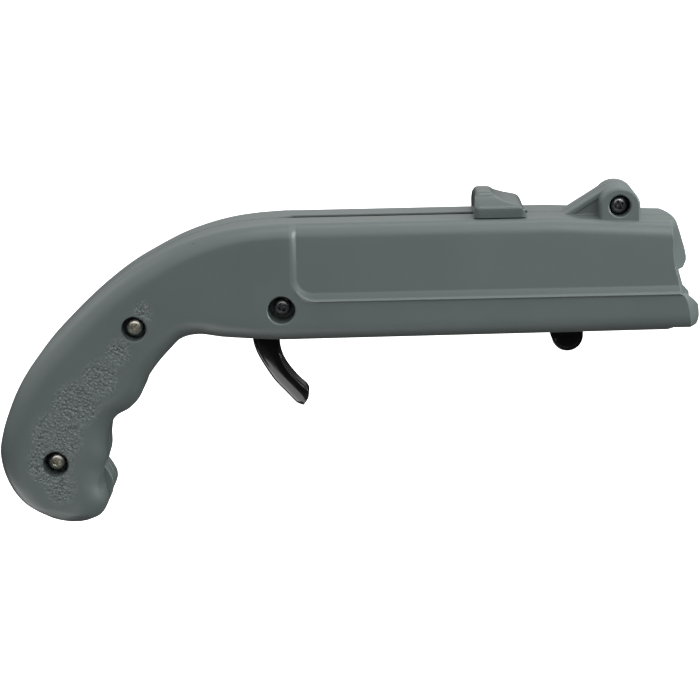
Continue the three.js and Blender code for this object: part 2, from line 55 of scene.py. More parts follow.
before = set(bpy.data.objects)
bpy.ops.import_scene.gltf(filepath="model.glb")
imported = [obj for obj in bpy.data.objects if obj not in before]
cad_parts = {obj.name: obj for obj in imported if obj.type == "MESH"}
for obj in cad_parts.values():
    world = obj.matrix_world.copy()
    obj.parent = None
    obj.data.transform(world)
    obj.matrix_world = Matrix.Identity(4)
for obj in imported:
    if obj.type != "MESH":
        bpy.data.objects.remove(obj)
cad_low, cad_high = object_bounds()


def cad_box(node):
    """The lowest and highest corners of a CAD node, in millimetres."""
    low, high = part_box(node)
    return np.array(low) / MM, np.array(high) / MM


def cad_middle(node):
    low, high = cad_box(node)
    return (low + high) / 2


# ---------------------------------------------------------------- driving dimensions

BARREL_TOP = 39.0
BARREL_BOTTOM = 6.1
BAND_HALF = cad_box("left_shell")[1][1]
PANEL_DEPTH = 0.35        # how far the side panel is set in at the ledge
PANEL_DRAFT = 0.05        # and how much further per millimetre above it
PANEL_REAR = -15.0
LEDGE = 17.4
LEDGE_CORNER = 6.5
LEDGE_COVE = 2.4          # height of the slope above the ledge
STEP_COVE = 1.4           # width of the step at the panel's rear
BEAD = 0.42               # height of the fine bead along the ledge
GROOVE = 0.12             # depth of the fine groove along the rear step
LINE_WIDTH = 0.28         # how wide the bead and the groove are
GRIP_RADIUS = 7.5
TOP_RADIUS = 4.0
BOTTOM_RADIUS = 4.5
WALL = 2.0
INNER_CORNERS = 0.6       # how much smaller the hollow's corner radii are, in wall thicknesses
HOLLOW_HALF = 15.0
HALF_GAP = 0.1
SEAM = 0.22               # chamfer of the far shell along the parting line
SEAM_STEP = 0.45          # depth and
SEAM_REACH = 1.1          # width of the near shell's chamfer there, which leaves a shadow line
GAP = 0.3

TRACK = {"floor": 17.4, "ceiling": 24.0, "half": 15.7, "shelf": 1.5, "slot": 5.0, "rear": 22.0}
DRAW_REAR = -18.0         # the track's room ends here, 3 mm behind the drawn striker
CAVITY_FRONT = 87.0
BACKING_FRONT = 91.0
NECK = {"radius": 13.5, "x": 107.0}
LIP_CURVE = 31.0
LIP_SLOPE = [(94.8, 17.5), (96.3, 15.7), (97.7, 14.6), (98.9, 13.3), (99.6, 12.0)]
NOSE_UNDERSIDE = [(94.4, 23.9), (95.2, 24.5), (96.1, 25.3), (96.7, 26.4), (97, 27.4)]
SLOT = {"rear": -19.6, "front": 51.8, "half": 2.3}
BOSS = {"x": 76.9, "z": 41.9, "half": 5.6, "rise": 5.05, "near": -14.5, "far": 8.5}
RAMP = {"foot": 61.9, "half": 6.3, "border": 1.3, "recess": 0.5}
WEB_HALF = 6.0
SCOOP_CENTRE = (-66.8, -35.0)
TRIGGER_SLOT = {"rear": -29.4, "front": -17.4, "half": 4.6}
CATCH_SLOT = {"rear": 56.4, "front": 67.6, "half": 5.3}
REAR_RIB = (-42.5, -38.0)
FRONT_RIB = (54.0, 57.0)

TRIGGER_PIVOT = cad_middle("trigger_bush")[[0, 2]]
CATCH_PIVOT = cad_middle("catch_pin")[[0, 2]]
ROD_Z = cad_middle("guide_rod")[2]

# The screws: radius of the well, how far out the skin stands around it, and radius of the boss inside
# the near shell (0 where the shell is solid).
WELLS = {
    "grip_screw_upper": {"hole": 3.5, "skin": 16.35, "boss": 5.1},
    "grip_screw_lower": {"hole": 3.6, "skin": 14.75, "boss": 5.2},
    "trigger_pivot_screw": {"hole": 3.85, "skin": 18.0, "boss": 5.3},
    "front_boss_screw": {"hole": 3.0, "skin": 14.5, "boss": 0},
}

# Stations from the butt to the muzzle: back or top point, front or bottom point, half width, and how
# round the edges are (1 on the grip, 0 on the barrel).
STATIONS = [
    ((-80.5, -46.85), (-80.5, -46.85), 7.5, 1),
    ((-88.5, -44.85), (-75.2, -46.65), 12.4, 1),
    ((-94.8, -40.55), (-72.0, -44.95), 14.2, 1),
    ((-98.8, -34.15), (-70.1, -41.25), 14.6, 1),
    ((-100.4, -26.45), (-71.0, -35.85), 14.8, 1),
    ((-99.4, -20.25), (-71.0, -31.85), 14.9, 1),
    ((-97.3, -14.15), (-69.9, -27.85), 15.0, 1),
    ((-94.7, -8.25), (-69.8, -23.75), 15.1, 1),
    ((-91.4, -2.65), (-68.9, -19.55), 15.2, 1),
    ((-86.2, 4.15), (-66.3, -15.95), 15.4, 1),
    ((-80.4, 10.25), (-62.5, -13.75), 15.6, 1),
    ((-74.3, 16.05), (-59.5, -10.45), 15.8, 0.9),
    ((-68.0, 21.35), (-57.5, -5.75), 16.1, 0.8),
    ((-61.3, 26.15), (-53.8, -0.45), 16.5, 0.7),
    ((-54.1, 30.15), (-50.0, 3.75), 17.0, 0.6),
    ((-47.0, 33.55), (-46.8, 6.75), 17.4, 0.45),
    ((-40.0, 35.95), (-42.0, 7.95), 17.7, 0.3),
    ((-33.0, 37.6), (-35.0, 7.15), 17.9, 0.15),
    ((-26.0, 38.5), (-27.0, 6.6), BAND_HALF, 0),
    ((-18.0, BARREL_TOP), (-18.0, BARREL_BOTTOM), BAND_HALF, 0),
]
BARREL_STATIONS = [
    ((-18.0, BARREL_TOP), (-18.0, BARREL_BOTTOM)),
    ((58.5, BARREL_TOP), (58.5, 6.5)),
    ((88.0, 37.3), (88.0, 6.7)),
    ((104.0, 36.8), (104.0, 6.8)),
]

# The muzzle's front at y = 0: x, z, and the radius with which it curves back toward the sides.
NOSE = [(90.5, 40, 52), (91.8, 37.9, 52), (93.4, 36.4, 50), (94.6, 33.4, 42), (95.5, 30.4, 34),
        (96.3, 27.6, 30), (96.8, 25, 29.5)]
MOUTH = [(96.9, 23.8, 31)]
LIP = [(98.6, 17.4, 31), (99.8, 16.4, 31), (100.6, 14.4, 31), (101, 12.2, 31), (101.1, 9.8, 31),
       (100.5, 7.9, 31), (98.9, 6, 31)]


# ---------------------------------------------------------------- curves

def smooth(points, steps):
    """A centripetal Catmull-Rom curve through points, with steps between each two."""
    points = np.array(points, float)
    padded = np.vstack([2 * points[0] - points[1], points, 2 * points[-1] - points[-2]])
    out = []
    for i in range(len(points) - 1):
        p0, p1, p2, p3 = padded[i:i + 4]
        gaps = [max(np.linalg.norm(b - a), 1e-6) ** 0.5 for a, b in ((p0, p1), (p1, p2), (p2, p3))]
        start = ((p1 - p0) / gaps[0] - (p2 - p0) / (gaps[0] + gaps[1]) + (p2 - p1) / gaps[1]) * gaps[1]
        end = ((p2 - p1) / gaps[1] - (p3 - p1) / (gaps[1] + gaps[2]) + (p3 - p2) / gaps[2]) * gaps[1]
        for t in np.arange(steps) / steps:
            a = 2 * t ** 3 - 3 * t ** 2 + 1
            b = t ** 3 - 2 * t ** 2 + t
            c = 3 * t ** 2 - 2 * t ** 3
            d = t ** 3 - t ** 2
            out.append(a * p1 + b * start + c * p2 + d * end)
    out.append(points[-1])
    return np.array(out)


def arc(x, z, radius, start, end, steps):
    """Points along an arc, angles in degrees."""
    angles = np.radians(np.linspace(start, end, steps + 1))
    return [(x + radius * math.cos(a), z + radius * math.sin(a)) for a in angles]


def mix(a, b, t):
    return a + (b - a) * t


# ---------------------------------------------------------------- meshes

def mesh_object(name, points, faces):
    """A mesh from points in millimetres: doubles merged, normals turned outward."""
    mesh = bpy.data.meshes.new(name)
    mesh.from_pydata([tuple(float(c) * MM for c in p) for p in points], [], faces)
    made = bmesh.new()
    made.from_mesh(mesh)
    bmesh.ops.remove_doubles(made, verts=made.verts, dist=0.002 * MM)
    bmesh.ops.dissolve_degenerate(made, edges=made.edges, dist=0.001 * MM)
    bmesh.ops.recalc_face_normals(made, faces=made.faces)
    made.to_mesh(mesh)
    made.free()
    obj = bpy.data.objects.new(name, mesh)
    bpy.context.scene.collection.objects.link(obj)
    return obj


def through_rings(name, rings):
    """A closed solid through rings of equal length, the end rings filled."""
    count = len(rings[0])
    faces = []
    for r in range(len(rings) - 1):
        for i in range(count):
            a, b = r * count + i, r * count + (i + 1) % count
            faces.append((a, b, b + count, a + count))
    faces.append(tuple(range(count))[::-1])
    faces.append(tuple(range((len(rings) - 1) * count, len(rings) * count)))
    return mesh_object(name, [p for ring in rings for p in ring], faces)


PLACES = {
    "x": lambda a, b, t: (t, a, b),
    "y": lambda a, b, t: (a, t, b),
    "z": lambda a, b, t: (a, b, t),
}


def plate(name, outline, axis, start, end, rounding=0.0, segments=3):
    """An outline carried along an axis, its end edges and corners rounded if asked."""
    rings = [[PLACES[axis](a, b, t) for a, b in outline] for t in (start, end)]
    obj = through_rings(name, rings)
    if rounding:
        round_edges(obj, rounding, segments)
    return obj


def block(name, x, y, z):
    return plate(name, [(x[0], z[0]), (x[1], z[0]), (x[1], z[1]), (x[0], z[1])], "y", *y)


def round_edges(obj, radius, segments=3, angle=25):
    """Rounds every edge sharper than the angle."""
    made = bmesh.new()
    made.from_mesh(obj.data)
    limit = math.radians(angle)
    sharp = [e for e in made.edges if len(e.link_faces) == 2 and e.calc_face_angle(0) > limit]
    bmesh.ops.bevel(made, geom=sharp, offset=radius * MM, segments=segments, profile=0.5,
                    affect="EDGES", clamp_overlap=True)
    made.to_mesh(obj.data)
    made.free()


def lathe(name, profile, axis, centre, sides=48):
    """A profile of (along, radius) points turned round an axis. centre is the two other coordinates."""
    rings = []
    for along, radius in profile:
        ring = arc(centre[0], centre[1], max(radius, 0.001), 0, 360 * (sides - 1) / sides, sides - 1)
        rings.append([PLACES[axis](a, b, along) for a, b in ring])
    return through_rings(name, rings)


def combine(obj, other, operation):
    """Joins, cuts or crosses obj with another solid, which is then deleted."""
    modifier = obj.modifiers.new("combine", "BOOLEAN")
    modifier.operation = operation
    modifier.object = other
    modifier.solver = "MANIFOLD"
    graph = bpy.context.evaluated_depsgraph_get()
    result = bpy.data.meshes.new_from_object(obj.evaluated_get(graph))
    obj.modifiers.remove(modifier)
    obj.data = result
    bpy.data.objects.remove(other)
    return obj


def cut(obj, other):
    return combine(obj, other, "DIFFERENCE")


def unite(obj, other):
    return combine(obj, other, "UNION")


def finish_piece(obj, body, material, nodes, angle=32):
    """Shades the piece, gives it its material, sets what it rides on, and hides the CAD nodes it stands in
    for.
    """
    for polygon in obj.data.polygons:
        polygon.use_smooth = True
    obj.data.set_sharp_from_angle(angle=math.radians(angle))
    weighted = obj.modifiers.new("even normals", "WEIGHTED_NORMAL")
    weighted.keep_sharp = True
    obj.data.materials.clear()
    obj.data.materials.append(material)
    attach(obj, body)
    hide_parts(*nodes)
    return obj


# ---------------------------------------------------------------- the shells' skin

# Heights of the points down the barrel's side, close together where the ledge is. They stay between
# the rounded corners. On the grip they are spread over its own flat part in the same proportions.
ROWS_LOW = 8.9            # the height that counts as the flat part's lower end there
SIDE_ROWS = np.concatenate([
    np.linspace(12.0, 16.6, 4),
    np.arange(16.8, 24.6, 0.2),
    np.linspace(25.4, 32.6, 6),
])


def panel_depth(x, z):
    """How far the side panel is set in at a point of the barrel's side."""
    dx, dz = x - PANEL_REAR, z - LEDGE
    if dx < LEDGE_CORNER and dz < LEDGE_CORNER:
        cx, cz = LEDGE_CORNER - dx, LEDGE_CORNER - dz
        inside = LEDGE_CORNER - math.hypot(cx, cz)
        lean = cz * cz / (cx * cx + cz * cz + 1e-9)
    else:
        inside = min(dx, dz)
        lean = 0.0 if dx < dz else 1.0
    line = math.exp(-(inside / LINE_WIDTH) ** 2)
    depth = mix(GROOVE, -BEAD, lean) * line
    if inside > 0:
        share = min(inside / mix(STEP_COVE, LEDGE_COVE, lean), 1)
        depth += (PANEL_DEPTH + PANEL_DRAFT * dz) * share
    return depth


def half_section(top, low, half, roundness, barrel=False, shrink=0.0, seam=(SEAM, SEAM)):
    """One half of a station's ring, from the parting plane round the side and back to it."""
    top, low = np.array(top), np.array(low)
    length = float(np.linalg.norm(top - low))
    along = (top - low) / length if length > 0 else np.zeros(2)
    low_radius = max(min(mix(BOTTOM_RADIUS, GRIP_RADIUS, roundness), length / 2) - shrink, 0.0)
    top_radius = max(min(mix(TOP_RADIUS, GRIP_RADIUS, roundness), length / 2) - shrink, 0.0)
    first, last = low_radius, length - top_radius
    if barrel:
        rows = SIDE_ROWS - low[1]
    else:
        rows = first + (last - first) * (SIDE_ROWS - ROWS_LOW) / (BARREL_TOP - TOP_RADIUS - ROWS_LOW)
    step, reach = min(seam[0], length / 4), seam[1]
    points = [(HALF_GAP, step), (HALF_GAP + reach, 0)]
    points += arc(half - low_radius, low_radius, low_radius, -90, 0, 8)
    points += [(half, row) for row in rows]
    points += arc(half - top_radius, length - top_radius, top_radius, 0, 90, 8)
    points += [(HALF_GAP + reach, length), (HALF_GAP, length - step)]
    ring = []
    for y, s in points:
        x, z = low + along * s
        if barrel and y > half - TOP_RADIUS:
            y -= (y - half + TOP_RADIUS) * panel_depth(x, z) / TOP_RADIUS
        ring.append((x, y, z))
    return ring


def barrel_places():
    """Where the barrel's rings stand: close together at the panel's rear step."""
    return np.concatenate([
        [-16.5],
        np.arange(-15.6, -14.2, 0.1),
        np.arange(-14.2, -8.0, 0.2),
        np.arange(-6.0, 104.0, 4.0),
        [104.0],
    ])


def fine_stations(steps):
    """The grip's and rear's stations, each gap between two divided into steps."""
    tops = smooth([s[0] for s in STATIONS], steps)
    lows = smooth([s[1] for s in STATIONS], steps)
    places = np.arange(len(tops)) / steps
    halves = np.interp(places, range(len(STATIONS)), [s[2] for s in STATIONS])
    rounds = np.interp(places, range(len(STATIONS)), [s[3] for s in STATIONS])
    return list(zip(tops, lows, halves, rounds))


def barrel_rails(x):
    """The barrel's top and bottom points at x."""
    xs = [s[0][0] for s in BARREL_STATIONS]
    top = np.interp(x, xs, [s[0][1] for s in BARREL_STATIONS])
    low = np.interp(x, xs, [s[1][1] for s in BARREL_STATIONS])
    return (x, top), (x, low)


def mirrored(ring, side):
    return [(x, y * side, z) for x, y, z in ring]


def skin_half(side):
    """The outside of one half as a solid, before the muzzle is shaped."""
    seam = (SEAM, SEAM) if side > 0 else (SEAM_STEP, SEAM_REACH)
    rings = [mirrored(half_section(*station, seam=seam), side) for station in fine_stations(6)]
    for x in barrel_places():
        top, low = barrel_rails(x)
        rings.append(mirrored(half_section(top, low, BAND_HALF, 0, barrel=True, seam=seam), side))
    return through_rings("skin", rings)


def hollow_half(side):
    """The room inside a shell, one wall thickness in from the skin."""
    rings = []
    places = fine_stations(2)[4:-2]
    places += [(*barrel_rails(x), BAND_HALF, 0) for x in (-18, 20, 58.5, CAVITY_FRONT)]
    for top, low, half, roundness in places:
        top, low = np.array(top, float), np.array(low, float)
        step = (top - low) / np.linalg.norm(top - low) * WALL
        inner = min(half - WALL, HOLLOW_HALF)
        ring = half_section(top - step, low + step, inner, roundness, shrink=WALL * INNER_CORNERS)
        rings.append(mirrored([(x, max(y - HALF_GAP - SEAM, -1.0), z) for x, y, z in ring], side))
    return through_rings("hollow", rings)


def behind_muzzle():
    """Everything behind the muzzle's front, which curves back toward the sides."""
    front = np.vstack([smooth(NOSE, 5), MOUTH, smooth(LIP, 5)])
    rings = []
    for y in np.arange(-22, 22.5, 1.0):
        ring = [(x - y * y / (2 * radius), y, z) for x, z, radius in front]
        rings.append([(-120, y, -60), (-120, y, 60), (ring[0][0], y, 60), *ring, (ring[-1][0], y, -60)])
    return through_rings("behind muzzle", rings)


def soften_ends(obj, outer, inner, outer_radius):
    """Rounds the edges of a Y plate's outer end, and chamfers its inner end along the seam."""
    made = bmesh.new()
    made.from_mesh(obj.data)
    for y, radius, segments in ((outer, outer_radius, 4), (inner, SEAM, 1)):
        rim = [e for e in made.edges if all(abs(v.co.y - y * MM) < 1e-7 for v in e.verts)]
        bmesh.ops.bevel(made, geom=rim, offset=radius * MM, segments=segments, profile=0.5, affect="EDGES")
    made.to_mesh(obj.data)
    made.free()
    return obj


def boss_half(side):
    """Half of the arched cross boss on the muzzle, with the ramp behind it."""
    x, z, half, rise = BOSS["x"], BOSS["z"], BOSS["half"], BOSS["rise"]
    seam = side * HALF_GAP
    end = BOSS["far"] if side > 0 else BOSS["near"]
    arch = [(x + half * a, z + rise * b) for a, b in arc(0, 0, 1, 180, 0, 28)]
    boss = plate("boss", [(x - half, 34), *arch, (x + half, 34)], "y", *sorted((seam, end)))
    soften_ends(boss, end, seam, 0.7)
    slope = math.atan2(z + rise - BARREL_TOP - 1, x - RAMP["foot"] - half)
    touch = (x - half * math.sin(slope), z + rise * math.cos(slope))
    foot = (RAMP["foot"], BARREL_TOP - 0.2)
    outline = [(RAMP["foot"] - 0.6, 36), foot, touch, (x, z), (x, 36)]
    ramp_piece = plate("ramp", outline, "y", *sorted((seam, side * RAMP["half"])))
    soften_ends(ramp_piece, side * RAMP["half"], seam, 0.35)
    steepness = (touch[1] - foot[1]) / (touch[0] - foot[0])
    drop = RAMP["border"] * math.hypot(1, steepness)
    rear, front = foot[0] + drop / steepness, x - half + 0.5
    recess = [(rear, foot[1]), (front, foot[1]), (front, foot[1] + (front - rear) * steepness)]
    ends = sorted((side * (RAMP["half"] - RAMP["recess"]), side * (RAMP["half"] + 1)))
    cut(ramp_piece, plate("ramp recess", recess, "y", *ends))
    return unite(boss, ramp_piece)


# ---------------------------------------------------------------- the shells

def side_block(x, y, z, side):
    return block("rib", x, sorted((side * y[0], side * y[1])), z)


def finger_web(side):
    """The web that stands out of the lowest finger valley, between two scooped corners."""
    outline = smooth([(-76, -28.6), (-72, -30), (-70.6, -31.6), (-69.3, -33.7), (-68.5, -35.8), (-68.7, -38),
                      (-70.2, -40.4), (-76, -41.5)], 5)
    web = plate("web", [tuple(p) for p in outline], "y", *sorted((side * HALF_GAP, side * WEB_HALF)))
    return soften_ends(web, side * WEB_HALF, side * HALF_GAP, 0.4)


def scoop(side):
    """The cutter beside the finger web, wider toward the outside."""
    profile = [(side * (WEB_HALF - 0.4), 4.3), (side * 11, 5.4), (side * 18, 7)]
    return lathe("scoop", profile, "y", SCOOP_CENTRE, 64)


def ribs(side):
    """Shelves, ribs and blocks that hold the track and the springs."""
    reach = BAND_HALF - WALL + 0.2
    shelf = (TRACK["floor"] - TRACK["shelf"], TRACK["floor"])
    roof = BARREL_TOP - WALL + 0.4
    return [
        # the track's floor
        side_block((TRACK["rear"], BACKING_FRONT), (TRACK["slot"], reach), shelf, side),
        # behind and around the steel plate
        side_block((78, BACKING_FRONT), (HALF_GAP, reach), (13.4, TRACK["floor"]), side),
        # the track's roof at the front
        side_block((FRONT_RIB[0], BACKING_FRONT), (HALF_GAP, reach), (TRACK["ceiling"], 25.2), side),
        # the guide rod's front and rear ends
        side_block(FRONT_RIB, (HALF_GAP, HOLLOW_HALF + 0.2), (TRACK["ceiling"], roof - 2), side),
        side_block(REAR_RIB, (HALF_GAP, HOLLOW_HALF + 0.6), (TRACK["ceiling"], roof - 3), side),
        # above the trigger spring
        side_block((-30, -22), (HALF_GAP, reach), (24, 25.7), side),
    ]


RING_DEPTH = 3.0          # how far each well goes down round the post that its screw's head sits on
POST = 2.3                # radius of that post
HEAD_HEIGHT = 2.0         # from a screw's top to the seat below its head
THROUGH = 1.65            # radius of a shank's hole in the near shell
BLIND = 1.45              # and in the far shell


def well(name, side):
    """The cutter of a screw's well, with a small chamfer where it meets the skin."""
    place = WELLS[name]
    low, high = cad_box(name)
    centre = cad_middle(name)[[0, 2]]
    if side > 0:
        return lathe("shank", [(-1, BLIND), (high[1] + 1, BLIND)], "y", centre, 32)
    seat = low[1] + HEAD_HEIGHT
    skin = -place["skin"]
    hole = place["hole"]
    profile = [(seat + RING_DEPTH, hole), (skin + 0.3, hole), (skin - 2, hole + 2.3)]
    cutter = lathe("well", profile, "y", centre, 64)
    cut(cutter, lathe("post", [(seat, POST), (seat + RING_DEPTH + 1, POST)], "y", centre, 64))
    return unite(cutter, lathe("shank", [(1, THROUGH), (seat - 0.5, THROUGH)], "y", centre, 64))


def screw_boss(name, side):
    """The round boss inside a shell that a screw runs through."""
    place = WELLS[name]
    centre = cad_middle(name)[[0, 2]]
    start = 4.4 if name == "trigger_pivot_screw" else HALF_GAP
    radius = place["boss"] if side < 0 else 4.3
    ends = sorted((side * start, side * (place["skin"] - 1)))
    return lathe("boss", [(ends[0], radius), (ends[1], radius)], "y", centre, 40)


def cut_mouth(body):
    """The track, the sloped lip below its mouth and the underside of the nose above it."""
    half = TRACK["half"]
    cut(body, block("track", (DRAW_REAR, 130), (-half, half), (TRACK["floor"], TRACK["ceiling"])))
    slope = [tuple(p) for p in smooth(LIP_SLOPE, 4)]
    cut(body, plate("lip slope", [*slope, (130, 12), (130, 17.5)], "y", -half, half))
    underside = [tuple(p) for p in smooth(NOSE_UNDERSIDE, 4)]
    cut(body, plate("nose underside", [*underside, (130, 27.4), (130, 23.9)], "y", -half, half))


def cut_slots(body):
    """The slider's slot with the wider channel under it, and the trigger's and catch's slots."""
    rear, front, half = SLOT["rear"], SLOT["front"], SLOT["half"]
    outline = [(rear, -half), (front, -half), (front, half), (rear + 2 * half, half)]
    cut(body, plate("top slot", outline, "z", BARREL_TOP - 5, BARREL_TOP + 4))
    cut(body, block("slot channel", (rear, front + 2), (-4, 4), (BARREL_TOP - 5, BARREL_TOP - 0.5)))
    for slot in (TRIGGER_SLOT, CATCH_SLOT):
        across = (-slot["half"], slot["half"])
        cut(body, block("bottom slot", (slot["rear"], slot["front"]), across, (0, 9.6)))


POCKET_FRONT = 94.9       # front of the steel plate's pocket at y = 0


def pocket_outline(rear, reach):
    """An outline in plan for the steel plate: square behind, curved like the lip in front."""
    front = [(POCKET_FRONT - y * y / (2 * LIP_CURVE), y) for y in np.linspace(-reach, reach, 17)]
    return [(rear, reach), (rear, -reach), *front]


def cut_opener(body):
    """The steel plate's pocket, the window above it and the round notch for a bottle's neck."""
    low, high = cad_box("opener_plate")
    rear, reach = low[0] - GAP, high[1] + GAP
    cut(body, plate("pocket", pocket_outline(rear, reach), "z", low[2] - GAP, high[2] + GAP))
    cut(body, plate("window", pocket_outline(rear, reach - 2), "z", high[2], TRACK["floor"] + 0.5))
    cut(body, lathe("neck", [(-60, NECK["radius"]), (17.5, NECK["radius"])], "z", (NECK["x"], 0), 96))


def shell(side):
    """One half of the casing: side is 1 for the far half and -1 for the near half with the wells."""
    body = skin_half(side)
    combine(body, behind_muzzle(), "INTERSECT")
    unite(body, boss_half(side))
    cut(body, scoop(side))
    unite(body, finger_web(side))
    cut(body, plate("lip step", [(90, 0), (90, 6.9), (91.4, 7.6), (120, 7.6), (120, 0)], "y", -30, 30))
    cut(body, hollow_half(side))
    for rib in ribs(side):
        unite(body, rib)
    for name, place in WELLS.items():
        if place["boss"]:
            unite(body, screw_boss(name, side))
    cut_mouth(body)
    cut_slots(body)
    cut(body, lathe("rod bore", [(-41.3, 2.2), (57.1, 2.2)], "x", (0, ROD_Z), 32))
    cut_opener(body)
    cut(body, lathe("catch bore", [(-9.3, 1.35), (9.3, 1.35)], "y", CATCH_PIVOT, 32))
    for name in WELLS:
        cut(body, well(name, side))
    return body


# ---------------------------------------------------------------- the other pieces

BLEND = 0.16              # how softly the slider's scoop runs into its crown


def slider():
    """The thumb slider: a high rear lip, a scooped front and a crowned back."""
    low, high = cad_box("cocking_slider")
    base, half = BARREL_TOP + GAP, high[1]
    side = smooth([(36.3, base), (36.35, 42), (36.8, 45), (37.7, 45.9), (39.3, 46), (41, 45.8),
                   (42.5, 44.8), (45, 43.6), (47.6, 42.9), (49.4, 42.3), (50.4, 41.1), (50.9, base)], 5)
    crown = smooth([(half, base), (half + 0.02, 41.5), (half - 0.08, 42.1), (half - 0.5, 42.55),
                    (11.2, 43.9), (9, 44.6), (7.7, 44.9), (6.9, 45.6), (5.8, 46), (0, 46.05)], 6)
    crown = np.vstack([crown, [(-y, z) for y, z in crown[-2::-1]]])
    corner = 1.6
    rings = []
    for x, z_side in side:
        edge = min(x - side[0][0], side[-1][0] - x, corner)
        inset = corner - math.sqrt(max(corner ** 2 - (corner - edge) ** 2, 0))
        ring = []
        for y, z_crown in crown:
            soft = math.exp((base - z_side) / BLEND) + math.exp((base - z_crown) / BLEND)
            z = max(base - BLEND * math.log(soft), base)
            ring.append((x, y * (half - inset) / half, z))
        rings.append(ring)
    count = len(rings[0])
    points = [p for ring in rings for p in ring]
    faces = [(r * count + i, r * count + i + 1, (r + 1) * count + i + 1, (r + 1) * count + i)
             for r in range(len(rings) - 1) for i in range(count - 1)]
    border = [r * count for r in range(len(rings))]
    border += [(len(rings) - 1) * count + i for i in range(1, count)]
    border += [r * count + count - 1 for r in range(len(rings) - 2, -1, -1)]
    border += list(range(count - 2, 0, -1))
    # A flat floor under the crowned surface, joined to it all round the border.
    floor = base - 0.02
    lower = {v: len(points) + i for i, v in enumerate(border)}
    points += [(points[v][0], points[v][1], floor) for v in border]
    for a, b in zip(border, border[1:] + border[:1]):
        faces.append((a, b, lower[b], lower[a]))
    faces.append(tuple(lower[v] for v in border))
    knob = mesh_object("thumb_slider", points, faces)
    tongue = block("tongue", (37.4, 50), (-1.2, 1.2), (low[2], base + 0.6))
    pin = cad_middle("slider_pin")[[0, 2]]
    unite(knob, tongue)
    return cut(knob, lathe("pin hole", [(-3, 0.95), (3, 0.95)], "y", pin, 24))


ROUND_BACK = 0.72         # how much of the blade's depth its round back takes
BLADE_SHIFT = -0.5        # the blade stands this far along X from the points below


def trigger():
    """The trigger: a blade with a round back and a flat front, a hub, and the sear arm inside."""
    # Front point, back point and half width, from the top down.
    blade = [
        ((-16.5, 16.4), (-28.2, 16.4), 3.8),
        ((-17.2, 13), (-28.1, 12.6), 3.8),
        ((-18.2, 9.6), (-27.4, 9), 3.8),
        ((-19.1, 5.4), (-27, 5), 3.8),
        ((-19.1, 1.6), (-26.5, 2), 3.8),
        ((-18.4, -1.2), (-25.3, -1.1), 3.8),
        ((-17, -3.9), (-23.2, -4.8), 3.8),
        ((-14.9, -6.7), (-20.9, -8.3), 3.8),
        ((-13.2, -8.5), (-18.1, -11.4), 3.7),
        ((-11.8, -9.8), (-15.8, -13.9), 3.7),
        ((-11.1, -11), (-14.6, -15.1), 3.6),
        ((-11.2, -13.2), (-12.9, -15.8), 3.1),
    ]
    front = smooth([s[0] for s in blade], 4)
    back = smooth([s[1] for s in blade], 4)
    widths = np.interp(np.arange(len(front)) / 4, range(len(blade)), [s[2] for s in blade])
    rings = []
    for f, b, half in zip(front, back, widths):
        length = np.linalg.norm(f - b)
        along = (f - b) / length
        front_radius = min(0.8, length * 0.3)
        crown = min(length * ROUND_BACK, length - front_radius)
        right = [(half * y, crown * (1 + s)) for y, s in arc(0, 0, 1, -90, 0, 14)]
        right += arc(half - front_radius, length - front_radius, front_radius, 0, 90, 5)
        outline = right + [(-y, s) for y, s in right[::-1]]
        rings.append([(b[0] + BLADE_SHIFT + along[0] * s, y, b[1] + along[1] * s) for y, s in outline])
    piece = through_rings("trigger_blade", rings)
    x, z = TRIGGER_PIVOT
    sear = [(-18, 11), (0.6, 13.2), (3.4, 14.2), (3.4, 18.2), (0.3, 18.2), (-0.2, 16.4), (-18, 16.6)]
    unite(piece, plate("arm", sear, "y", -2.6, 2.6, 0.25))
    unite(piece, lathe("hub", [(-3.8, 4.6), (-3.4, 5), (3.4, 5), (3.8, 4.6)], "y", (x, z), 48))
    return cut(piece, lathe("bore", [(-9, 3.2), (9, 3.2)], "y", (x, z), 48))


def catch():
    """The release catch: a round-ended tab with a raised rim, a lever in the track, and a hub."""
    x, z = CATCH_PIVOT
    radius, half = 4.5, 4.8
    centre = cad_box("cap_catch")[0][2] + radius
    outline = [(x + radius, z - 1), (x - radius, z - 1), *arc(x, centre, radius, 180, 360, 32)]
    tab = plate("release_catch", outline, "y", -half, half, 0.45)
    inner = radius - 1.0
    recess = [(x + inner, z), (x - inner, z), *arc(x, centre, inner, 180, 360, 28)]
    for side in (-1, 1):
        cut(tab, plate("recess", recess, "y", *sorted((side * (half - 0.35), side * (half + 1)))))
    lever = [(x - 9.2, z - 1.2), (x + 2, z - 2), (x + 6.4, 15.6), (x + 6.8, 18.9), (x + 5.2, 19.2),
             (x - 0.5, z + 2.6), (x - 4.6, z + 0.6), (x - 9.2, z + 0.6)]
    unite(tab, plate("lever", lever, "y", -2.2, 2.2, 0.2))
    unite(tab, lathe("hub", [(-5.6, 2.6), (5.6, 2.6)], "y", (x, z), 40))
    return cut(tab, lathe("bore", [(-9, 1.35), (9, 1.35)], "y", (x, z), 32))


